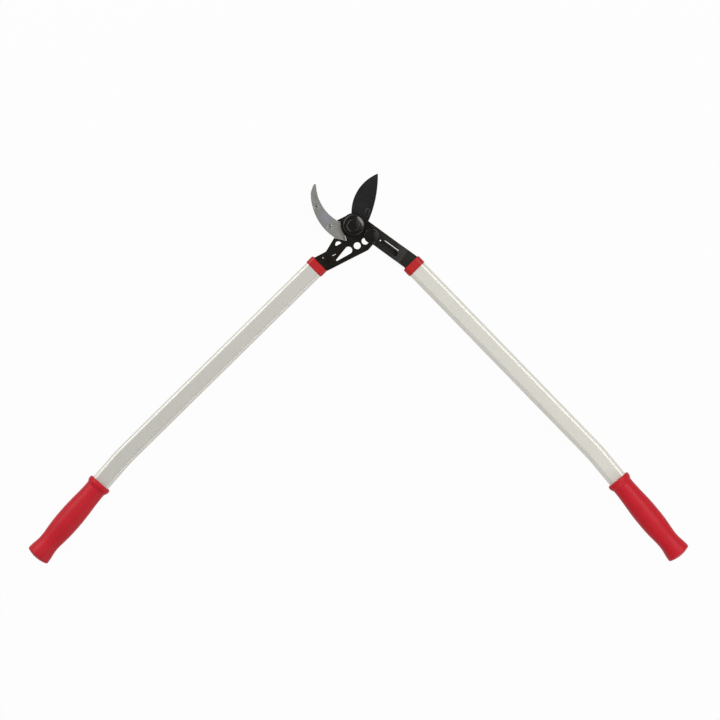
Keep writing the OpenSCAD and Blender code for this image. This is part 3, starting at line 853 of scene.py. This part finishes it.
class Workshop:
    """Small modelling moves on one active mesh."""

    @staticmethod
    def only(piece: bpy.types.Object) -> None:
        """Makes a piece the only selected and active object.

        Args:
            piece: The piece to work on.
        """
        bpy.ops.object.select_all(action="DESELECT")
        piece.select_set(True)
        bpy.context.view_layer.objects.active = piece

    @staticmethod
    def apply(piece: bpy.types.Object, kind: str, **settings: Any) -> None:
        """Adds a modifier and applies it.

        Args:
            piece: The piece to change.
            kind: Blender's name of the modifier type.
            **settings: Properties of the modifier and their values.
        """
        Workshop.only(piece)
        modifier = piece.modifiers.new(kind.lower(), kind)
        for name, value in settings.items():
            setattr(modifier, name, value)
        bpy.ops.object.modifier_apply(modifier=modifier.name)

    @staticmethod
    def settle(piece: bpy.types.Object) -> None:
        """Moves a piece's place, turn and scale into its mesh."""
        Workshop.only(piece)
        bpy.ops.object.transform_apply(location=True, rotation=True, scale=True)

    @staticmethod
    def smooth(piece: bpy.types.Object, degrees: float) -> None:
        """Shades a piece smooth but for its sharp edges, and keeps flats flat.

        Args:
            piece: The piece to shade.
            degrees: Angle above which an edge stays sharp.
        """
        Workshop.only(piece)
        bpy.ops.object.shade_smooth_by_angle(angle=math.radians(degrees))
        Workshop.apply(piece, "WEIGHTED_NORMAL", mode="FACE_AREA", weight=100, keep_sharp=True)

    @staticmethod
    def pick_edges(piece: bpy.types.Object, wanted: Callable[[Vector, Vector], bool]) -> None:
        """Selects edges by the places of their two ends, and stays in edit mode.

        Args:
            piece: The piece, in edit mode.
            wanted: Says from an edge's two ends whether it is selected.
        """
        bpy.ops.mesh.select_mode(type="EDGE")
        bpy.ops.mesh.select_all(action="DESELECT")
        bpy.ops.object.mode_set(mode="OBJECT")
        points = piece.data.vertices
        for edge in piece.data.edges:
            first, last = edge.vertices
            edge.select = wanted(points[first].co, points[last].co)
        bpy.ops.object.mode_set(mode="EDIT")

    @staticmethod
    def mend(piece: bpy.types.Object) -> None:
        """Merges doubled points and turns all faces outwards.

        Args:
            piece: The piece, in object mode.
        """
        Workshop.only(piece)
        bpy.ops.object.mode_set(mode="EDIT")
        bpy.ops.mesh.select_all(action="SELECT")
        bpy.ops.mesh.remove_doubles(threshold=DOUBLES)
        bpy.ops.mesh.normals_make_consistent(inside=False)
        bpy.ops.object.mode_set(mode="OBJECT")

    @staticmethod
    def finish(piece: bpy.types.Object, body: str, node: str, slot: str, finish: Finish) -> None:
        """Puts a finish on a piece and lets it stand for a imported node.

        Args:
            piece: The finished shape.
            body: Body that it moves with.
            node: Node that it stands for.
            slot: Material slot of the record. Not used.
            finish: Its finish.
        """
        piece.data.materials.clear()
        piece.data.materials.append(finish.material())
        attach(piece, body)
        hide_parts(node)


@dataclass(frozen=True)
class Seam:
    """A joint line on a flat face, along an arc round the pivot, between two angles in degrees."""

    radius: float
    level: float
    first: float
    last: float
    margin: float = 0.15 * MM
    gap: float = 1.2 * MM

    def holds(self, point: Vector) -> bool:
        """Says whether a point lies on the seam.

        Args:
            point: The point, in the part's frame.

        Returns:
            Whether it is on the arc, between its two ends.
        """
        on_level = abs(point.z - self.level) < self.margin
        on_ring = abs(math.hypot(point.x, point.y) - self.radius) < self.margin
        angle = math.degrees(math.atan2(point.y, point.x))
        return on_level and on_ring and self.first < angle < self.last


@dataclass
class Forging:
    """A solid piece whose sharp edges are broken by a small rounding."""

    node: str
    name: str
    body: str
    slot: str
    finish: Finish
    rounding: float
    steps: int = 2
    sharp_limit: float = 28.0
    flat_limit: float = 0.3
    smooth_limit: float = 32.0
    weld: float = DOUBLES
    seam: Seam | None = None

    def build(self, nodes: dict[str, bpy.types.Object]) -> bpy.types.Object:
        """Makes the rounded piece from the solid and lets it stand for that solid.

        Args:
            nodes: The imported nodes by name.

        Returns:
            The finished piece.
        """
        piece = bpy.data.objects.new(self.name, nodes[self.node].data.copy())
        piece.data.name = self.name
        bpy.context.scene.collection.objects.link(piece)
        Workshop.only(piece)
        bpy.ops.mesh.customdata_custom_splitnormals_clear()
        bpy.ops.object.mode_set(mode="EDIT")
        bpy.ops.mesh.select_mode(type="EDGE")
        bpy.ops.mesh.select_all(action="SELECT")
        bpy.ops.mesh.remove_doubles(threshold=self.weld)
        if self.seam is not None:
            self._close(piece, self.seam)
        bpy.ops.mesh.dissolve_limited(angle_limit=math.radians(self.flat_limit))
        bpy.ops.mesh.select_all(action="DESELECT")
        bpy.ops.mesh.edges_select_sharp(sharpness=math.radians(self.sharp_limit))
        bpy.ops.mesh.bevel(
            offset=self.rounding,
            segments=self.steps,
            affect="EDGES",
            clamp_overlap=False,
            loop_slide=False,
        )
        bpy.ops.object.mode_set(mode="OBJECT")
        Workshop.smooth(piece, self.smooth_limit)
        Workshop.finish(piece, self.body, self.node, self.slot, self.finish)
        return piece

    @staticmethod
    def _close(piece: bpy.types.Object, seam: Seam) -> None:
        """Merges the close points of a seam, and selects the whole piece again.

        Args:
            piece: The piece, in edit mode.
            seam: Where the points lie.
        """
        Workshop.pick_edges(piece, lambda a, b: seam.holds(a) and seam.holds(b))
        bpy.ops.mesh.select_mode(type="VERT")
        bpy.ops.mesh.remove_doubles(threshold=seam.gap)
        bpy.ops.mesh.select_mode(type="EDGE")
        bpy.ops.mesh.select_all(action="SELECT")


@dataclass(frozen=True)
class HandleLine:
    """Where a handle's tube starts, how it runs and where it bends, with angles in degrees."""

    side: Side
    body: str
    collar: tuple[float, float]
    degrees: float
    run: float
    bend: float = 4.6

    @property
    def turn(self) -> float:
        """Direction of the tube before its bend, in radians."""
        return math.radians(self.degrees)

    @property
    def grip_turn(self) -> float:
        """Direction of the tube after its bend, in radians."""
        return math.radians(self.degrees + self.side.value * self.bend)

    @staticmethod
    def _ahead(turn: float) -> Vector:
        """Unit vector of a direction in the plane of the handles."""
        return Vector((math.cos(turn), math.sin(turn), 0.0))

    def past_bend(self, distance: float) -> Vector:
        """Finds a point on the grip's axis.

        Args:
            distance: Distance beyond the bend.

        Returns:
            The point, in the part's frame.
        """
        corner = Vector((*self.collar, MID_Z)) + self.run * self._ahead(self.turn)
        return corner + distance * self._ahead(self.grip_turn)


LEFT_LINE = HandleLine(
    Side.LEFT, "blade_side", collar=(-52.0 * MM, -57.5 * MM), degrees=-135.45, run=380.4 * MM
)
RIGHT_LINE = HandleLine(
    Side.RIGHT, "anvil_side", collar=(84.3 * MM, -57.0 * MM), degrees=-45.8, run=365.2 * MM
)


@dataclass
class Grip:
    """Moulded grip: a rolled flange, two necks, a belly and a domed, flared end."""

    line: HandleLine
    name: str
    node: str
    start: float = 47.6 * MM
    length: float = 138.6 * MM
    flange: float = 17.2 * MM
    flange_width: float = 4.4 * MM
    flange_corner: float = 2.2 * MM
    fillet: float = 7.0 * MM
    neck: float = 14.8 * MM
    belly: float = 17.2 * MM
    belly_hold: float = 1.6
    belly_share: float = 0.46
    neck_share: float = 0.8
    flare: float = 17.2 * MM
    dome: float = 3.0 * MM
    end_corner: float = 2.4 * MM
    end_wall: float = 8.0 * MM
    bore_width: float = 27.0 * MM
    bore_height: float = 18.2 * MM
    bore_corner: float = 6.5 * MM
    bore_overrun: float = 4.0 * MM
    sides: int = 96
    corner_steps: int = 8
    stretch_steps: tuple[int, ...] = (12, 20, 20, 12)
    bore_steps: int = 10
    smooth_limit: float = 38.0

    def outline(self) -> list[Ring]:
        """Works out the rings of the grip, from the flange to the dome.

        Returns:
            The rings in order.
        """
        corner = self.flange_corner
        rings = self._corner((corner, self.flange - corner), corner, math.pi, math.pi / 2)
        rim = math.atan(2 * self.dome / self.flare)
        rim_x = self.length - self.dome - self.end_corner * math.cos(rim)
        places = (
            self.flange_width,
            self.flange_width + self.fillet,
            self.length * self.belly_share,
            self.length * self.neck_share,
            rim_x,
        )
        radii = (self.flange, self.neck, self.belly, self.neck, self.flare)
        holds = (1.0, 1.0, self.belly_hold, 1.0)
        for first, last, wide, next_wide, steps, hold in zip(
            places, places[1:], radii, radii[1:], self.stretch_steps, holds
        ):
            for step in range(steps):
                share = step / steps
                eased = (1 - math.cos(math.pi * share**hold)) / 2
                rings.append((first + (last - first) * share, wide + (next_wide - wide) * eased))
        end = (rim_x, self.flare - self.end_corner)
        rings += self._corner(end, self.end_corner, math.pi / 2, rim)
        edge = rings[-1][1]
        for step in range(1, self.corner_steps):
            share = 1 - step / self.corner_steps
            rings.append((self.length - self.dome * share * share, edge * share))
        return rings

    def _corner(self, centre: Ring, radius: float, first: float, last: float) -> list[Ring]:
        """Works out the rings along a rounded corner.

        Args:
            centre: Middle of the rounding.
            radius: Its radius.
            first: Angle of its first ring, in radians.
            last: Angle of its last ring.

        Returns:
            The rings in order.
        """
        steps = self.corner_steps
        angles = [first + (last - first) * step / steps for step in range(steps + 1)]
        return [(centre[0] + radius * math.cos(a), centre[1] + radius * math.sin(a)) for a in angles]

    def build(self) -> bpy.types.Object:
        """Models the grip ring by ring, bores it for the tube and puts it in place.

        Returns:
            The finished piece.
        """
        rings = self.outline()
        bpy.ops.object.select_all(action="DESELECT")
        bpy.ops.mesh.primitive_circle_add(
            vertices=self.sides,
            radius=rings[0][1],
            fill_type="NGON",
            location=(rings[0][0], 0.0, 0.0),
            rotation=(0.0, math.pi / 2, 0.0),
        )
        piece = bpy.context.active_object
        piece.name = piece.data.name = self.name
        Workshop.settle(piece)
        bpy.ops.object.mode_set(mode="EDIT")
        bpy.ops.mesh.select_all(action="SELECT")
        for (x, radius), (next_x, next_radius) in zip(rings, rings[1:]):
            move = {"value": (next_x - x, 0.0, 0.0)}
            bpy.ops.mesh.extrude_region_move(TRANSFORM_OT_translate=move)
            grow = next_radius / radius
            bpy.ops.transform.resize(value=(1.0, grow, grow), center_override=(next_x, 0.0, 0.0))
        bpy.ops.object.mode_set(mode="OBJECT")
        Workshop.mend(piece)
        self._drill(piece)
        Workshop.smooth(piece, self.smooth_limit)
        piece.rotation_euler = (0.0, 0.0, self.line.grip_turn)
        piece.location = self.line.past_bend(self.start)
        Workshop.settle(piece)
        Workshop.finish(piece, self.line.body, self.node, "red_plastic", GRIP_RED)
        return piece

    def _drill(self, piece: bpy.types.Object) -> None:
        """Cuts the flat-oval bore that takes the tube.

        Args:
            piece: The grip, still along the X axis.
        """
        depth = self.length - self.end_wall
        middle = (depth - self.bore_overrun) / 2
        bpy.ops.object.select_all(action="DESELECT")
        bpy.ops.mesh.primitive_cube_add(size=1.0, location=(middle, 0.0, 0.0))
        cutter = bpy.context.active_object
        cutter.scale = (depth + self.bore_overrun, self.bore_width, self.bore_height)
        Workshop.settle(cutter)
        bpy.ops.object.mode_set(mode="EDIT")
        Workshop.pick_edges(cutter, lambda a, b: abs(a.x - b.x) > depth / 2)
        bpy.ops.mesh.bevel(offset=self.bore_corner, segments=self.bore_steps, affect="EDGES")
        bpy.ops.object.mode_set(mode="OBJECT")
        Workshop.apply(piece, "BOOLEAN", operation="DIFFERENCE", solver="EXACT", object=cutter)
        bpy.data.objects.remove(cutter)


@dataclass
class Tube:
    """Flat-oval handle tube with one gentle bend."""

    line: HandleLine
    name: str
    node: str
    start: float = -4.1 * MM
    end: float = 178.1 * MM
    width: float = 26.8 * MM
    height: float = 18.0 * MM
    corner: float = 6.4 * MM
    corner_steps: int = 14
    wall: float = 1.5 * MM
    bend_radius: float = 350.0 * MM
    bend_steps: int = 12
    ring_margin: float = 0.01 * MM
    smooth_limit: float = 30.0
    roughness: float = 0.42
    # Painted light: each side's tube gets its own lighter or darker tone of the same satin, by how
    # light falls on it
    side_light_tones: dict[Side, Colour] = field(
        default_factory=lambda: {Side.LEFT: tone(205, 203, 195), Side.RIGHT: tone(216, 214, 205)}
    )

    def build(self) -> bpy.types.Object:
        """Models the straight run, the bend and the grip's run, and puts the tube in place.

        Returns:
            The finished piece.
        """
        tangent = self.bend_radius * math.tan(math.radians(self.line.bend) / 2)
        bend_start = self.line.run - tangent
        piece = self._straight_run(bend_start)
        self._bend_on(piece, bend_start, self.end - tangent)
        Workshop.mend(piece)
        Workshop.apply(piece, "SOLIDIFY", thickness=self.wall, offset=-1.0, use_even_offset=True)
        Workshop.smooth(piece, self.smooth_limit)
        piece.rotation_euler = (0.0, 0.0, self.line.turn)
        piece.location = (*self.line.collar, MID_Z)
        Workshop.settle(piece)
        # This side's painted lit or shaded tone
        shade = self.side_light_tones[self.line.side]
        satin = AnodisedTube(f"{self.name}_satin", shade, self.roughness, turn=self.line.turn)
        Workshop.finish(piece, self.line.body, self.node, "tube_aluminium", satin)
        return piece

    def _straight_run(self, bend_start: float) -> bpy.types.Object:
        """Models the outer skin of the run from the collar to the bend, open at both ends.

        Args:
            bend_start: Place along the tube where the bend starts.

        Returns:
            The skin, along the X axis and in edit mode.
        """
        middle = (self.start + bend_start) / 2
        bpy.ops.object.select_all(action="DESELECT")
        bpy.ops.mesh.primitive_cube_add(size=1.0, location=(middle, 0.0, 0.0))
        piece = bpy.context.active_object
        piece.name = piece.data.name = self.name
        piece.scale = (bend_start - self.start, self.width, self.height)
        Workshop.settle(piece)
        bpy.ops.object.mode_set(mode="EDIT")
        Workshop.pick_edges(piece, lambda a, b: abs(a.x - b.x) > self.width)
        bpy.ops.mesh.bevel(
            offset=self.corner, segments=self.corner_steps, affect="EDGES", clamp_overlap=False
        )
        for end in (self.start, bend_start):
            self._pick_ring(piece, end)
            bpy.ops.mesh.delete(type="ONLY_FACE")
        return piece

    def _pick_ring(self, piece: bpy.types.Object, place: float) -> None:
        """Selects the ring of edges at one place along the tube.

        Args:
            piece: The skin, in edit mode.
            place: Place along the X axis.
        """

        def near(point: Vector) -> bool:
            """Says whether a point is at that place."""
            return abs(point.x - place) < self.ring_margin

        Workshop.pick_edges(piece, lambda a, b: near(a) and near(b))

    def _bend_on(self, piece: bpy.types.Object, bend_start: float, last_run: float) -> None:
        """Goes on with the bend and the run inside the grip, and leaves edit mode.

        Args:
            piece: The skin of the straight run, in edit mode.
            bend_start: Place along the tube where the bend starts.
            last_run: Length of the run after the bend.
        """
        side = self.line.side.value
        bend = math.radians(self.line.bend)
        self._pick_ring(piece, bend_start)
        bpy.ops.mesh.spin(
            steps=self.bend_steps,
            angle=-side * bend,
            center=(bend_start, side * self.bend_radius, 0.0),
            axis=(0.0, 0.0, 1.0),
        )
        move = {"value": (last_run * math.cos(bend), side * last_run * math.sin(bend), 0.0)}
        bpy.ops.mesh.extrude_region_move(TRANSFORM_OT_translate=move)
        bpy.ops.object.mode_set(mode="OBJECT")


@dataclass
class Dressing:
    """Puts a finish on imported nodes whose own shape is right."""

    finish: Finish
    names: tuple[str, ...]

    def build(self, nodes: dict[str, bpy.types.Object]) -> None:
        """Puts the finish on each node and reports it.

        Args:
            nodes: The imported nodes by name.
        """
        for name in self.names:
            slots = nodes[name].data.materials
            slots.clear()
            slots.append(self.finish.material())
            LOG.info("%s: dressed in %s", name, self.finish.name)


@dataclass(frozen=True)
class SoftBox:
    """A large soft studio lamp."""

    name: str
    place: Point
    size: tuple[float, float]
    radiance: float

    def build(self, aim: Vector) -> None:
        """Makes the lamp.

        Args:
            aim: Point that the lamp faces.
        """
        lamp = bpy.data.lights.new(self.name, "AREA")
        lamp.shape = "RECTANGLE"
        lamp.size, lamp.size_y = self.size
        lamp.energy = self.radiance * math.pi * self.size[0] * self.size[1]
        holder = bpy.data.objects.new(self.name, lamp)
        bpy.context.scene.collection.objects.link(holder)
        holder.location = self.place
        holder.rotation_euler = (aim - Vector(self.place)).to_track_quat("-Z", "Y").to_euler()
        holder.visible_camera = False


@dataclass
class Studio:
    """Pale floor, soft lamps, bright surround and the camera straight above."""

    centre: tuple[float, float] = (8.7 * MM, -188.4 * MM)
    view_width: float = 1.008
    lens: float = 240.0
    sensor: float = 36.0
    floor_size: float = 14.0
    floor_drop: float = 0.2 * MM
    floor_colour: Colour = (0.4, 0.4, 0.4, 1.0)
    floor_roughness: float = 0.9
    floor_glow: float = 0.97
    horizon: float = 0.9
    zenith: float = 0.26
    zenith_fade: tuple[float, float] = (0.1, 0.75)
    near_share: float = 0.8
    near_fade: tuple[float, float] = (-0.6, 0.6)
    low_fill: float = 0.15
    high_fill: float = 0.83
    fill_fade: tuple[float, float] = (0.0, 0.9)
    lamps: tuple[SoftBox, ...] = (
        SoftBox("upper_left_box", place=(-1.28, 0.87, 0.87), size=(1.5, 0.65), radiance=5.2),
        SoftBox("upper_right_box", place=(1.02, 0.54, 1.6), size=(1.5, 0.45), radiance=6.5),
        SoftBox("lower_right_box", place=(1.1, -1.3, 0.55), size=(1.5, 0.5), radiance=2.5),
        SoftBox("overhead_box", place=(1.0, 0.1, 2.0), size=(1.2, 1.2), radiance=0.6),
    )

    def build(self) -> None:
        """Sets up the floor, the lamps, the surround and the camera."""
        bpy.context.scene.view_settings.view_transform = "Standard"
        self._floor()
        self._surround()
        aim = Vector((*self.centre, 0.0))
        for lamp in self.lamps:
            lamp.build(aim)
        self._camera()

    @staticmethod
    def _shown(graph: Graph) -> Socket:
        """Tells rays which show the background itself from rays that only bring its light.

        Args:
            graph: Graph of the floor's material or of the surround.

        Returns:
            A socket that is 1 for rays which show the background.
        """
        path = graph.add("ShaderNodeLightPath").outputs
        seen = graph.math("MAXIMUM", path["Is Camera Ray"], path["Is Glossy Ray"])
        return graph.math("MAXIMUM", seen, path["Is Transmission Ray"])

    def _floor(self) -> None:
        """Makes the floor, which looks white all over but lights the part as a grey one does."""
        bpy.ops.object.select_all(action="DESELECT")
        bpy.ops.mesh.primitive_plane_add(
            size=self.floor_size, location=(*self.centre, -self.floor_drop)
        )
        floor = bpy.context.active_object
        floor.name = floor.data.name = "studio_floor"
        Workshop.settle(floor)
        paper = bpy.data.materials.new("studio_paper")
        paper.use_nodes = True
        graph = Graph(paper.node_tree)
        shader = paper.node_tree.nodes["Principled BSDF"]
        shader.inputs["Base Color"].default_value = self.floor_colour
        shader.inputs["Roughness"].default_value = self.floor_roughness
        shader.inputs["Specular IOR Level"].default_value = 0.0
        glow = graph.add("ShaderNodeEmission")
        glow.inputs["Color"].default_value = WHITE
        mixed = graph.add("ShaderNodeMixShader")
        graph.feed(mixed.inputs[0], graph.math("MULTIPLY", self._shown(graph), self.floor_glow))
        graph.feed(mixed.inputs[1], shader.outputs[0])
        graph.feed(mixed.inputs[2], glow.outputs[0])
        graph.feed(paper.node_tree.nodes["Material Output"].inputs["Surface"], mixed.outputs[0])
        floor.data.materials.append(paper)

    def _surround(self) -> None:
        """Makes the surround: bright at the horizon, dimmer overhead and on the near side."""
        world = bpy.data.worlds.new("studio_surround")
        bpy.context.scene.world = world
        world.use_nodes = True
        graph = Graph(world.node_tree)
        back = world.node_tree.nodes["Background"]
        _, y, z = graph.split(graph.add("ShaderNodeTexCoord").outputs["Generated"])
        dimming = graph.spread(z, *self.zenith_fade, self.horizon, self.zenith)
        nearness = graph.spread(y, *self.near_fade, self.near_share, 1.0)
        fill = graph.spread(z, *self.fill_fade, self.low_fill, self.high_fill)
        shown = self._shown(graph)
        seen = graph.math("MULTIPLY", graph.math("MULTIPLY", dimming, nearness), shown)
        unseen = graph.math("MULTIPLY", graph.math("SUBTRACT", 1.0, shown), fill)
        back.inputs["Color"].default_value = WHITE
        graph.feed(back.inputs["Strength"], graph.math("ADD", seen, unseen))

    def _camera(self) -> None:
        """Puts the camera straight above, with the jaws' side up."""
        lens = bpy.data.cameras.new("overhead_camera")
        lens.lens, lens.sensor_width = self.lens, self.sensor
        camera = bpy.data.objects.new("overhead_camera", lens)
        bpy.context.scene.collection.objects.link(camera)
        away = self.view_width / self.sensor * self.lens
        camera.location = (*self.centre, MID_Z + away)
        bpy.context.scene.camera = camera


@dataclass
class AnvilSide:
    """Right handle, arm and anvil hook, with the main bolt and its nut."""

    line: HandleLine = RIGHT_LINE
    arm_edge: float = 0.25 * MM
    hook_edge: float = 0.4 * MM
    hook_weld: float = 0.06 * MM
    screw_edge: float = 0.5 * MM
    collar_edge: float = 0.2 * MM
    head_seam: Seam = Seam(radius=17.2 * MM, level=14.0 * MM, first=-55.0, last=48.6)

    def build(self, nodes: dict[str, bpy.types.Object]) -> list[bpy.types.Object]:
        """Models and dresses the pieces of this side.

        Args:
            nodes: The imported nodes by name.

        Returns:
            The new pieces.
        """
        body = self.line.body
        forgings = (
            Forging(
                "anvil_arm",
                "arm_forging",
                body,
                "black_coat",
                ARM_COAT,
                self.arm_edge,
                seam=self.head_seam,
            ),
            Forging(
                "anvil_hook",
                "hook_plate",
                body,
                "hook_steel",
                HOOK_STEEL,
                self.hook_edge,
                weld=self.hook_weld,
            ),
            Forging("anvil_screws", "hook_screws", body, "fastener_steel", ZINC, self.screw_edge),
            Forging("right_collar", "collar_right", body, "red_plastic", COLLAR_RED, self.collar_edge),
        )
        pieces = [forging.build(nodes) for forging in forgings]
        pieces.append(Tube(self.line, "tube_right", "right_tube").build())
        pieces.append(Grip(self.line, "grip_right", "right_grip").build())
        Dressing(ZINC, ("pivot_bolt", "pivot_nut", "right_tang_pin")).build(nodes)
        Dressing(BRONZE, ("thrust_washer", "nut_washer")).build(nodes)
        Dressing(CAP_BLACK, ("pivot_cap",)).build(nodes)
        return pieces


@dataclass
class BladeSide:
    """Left handle, truss frame and blade, with the blade's bolt and the bush."""

    line: HandleLine = LEFT_LINE
    frame_edge: float = 0.25 * MM
    frame_sharp_limit: float = 45.0
    blade_edge: float = 0.16 * MM
    collar_edge: float = 0.2 * MM

    def build(self, nodes: dict[str, bpy.types.Object]) -> list[bpy.types.Object]:
        """Models and dresses the pieces of this side.

        Args:
            nodes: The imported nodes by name.

        Returns:
            The new pieces.
        """
        body = self.line.body
        forgings = (
            Forging(
                "truss_frame",
                "frame_forging",
                body,
                "black_coat",
                FRAME_COAT,
                self.frame_edge,
                sharp_limit=self.frame_sharp_limit,
            ),
            Forging("blade", "blade_leaf", body, "blade_coat", BLADE_COAT, self.blade_edge),
            Forging("left_collar", "collar_left", body, "red_plastic", COLLAR_RED, self.collar_edge),
        )
        pieces = [forging.build(nodes) for forging in forgings]
        pieces.append(Tube(self.line, "tube_left", "left_tube").build())
        pieces.append(Grip(self.line, "grip_left", "left_grip").build())
        Dressing(ZINC, ("blade_bolt", "blade_bolt_washer", "left_tang_pin")).build(nodes)
        Dressing(BRONZE, ("pivot_bush",)).build(nodes)
        Dressing(CAP_BLACK, ("blade_bolt_cap",)).build(nodes)
        return pieces


def main() -> None:
    """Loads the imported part, sets up the studio and builds both sides."""
    logging.basicConfig(level=logging.INFO, format="%(name)s: %(message)s")
    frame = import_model()
    Studio().build()
    for side in (AnvilSide(), BladeSide()):
        for piece in side.build(frame["nodes"]):
            LOG.info("%s: %d faces", piece.name, len(piece.data.polygons))


if __name__ == "__main__":
    main()
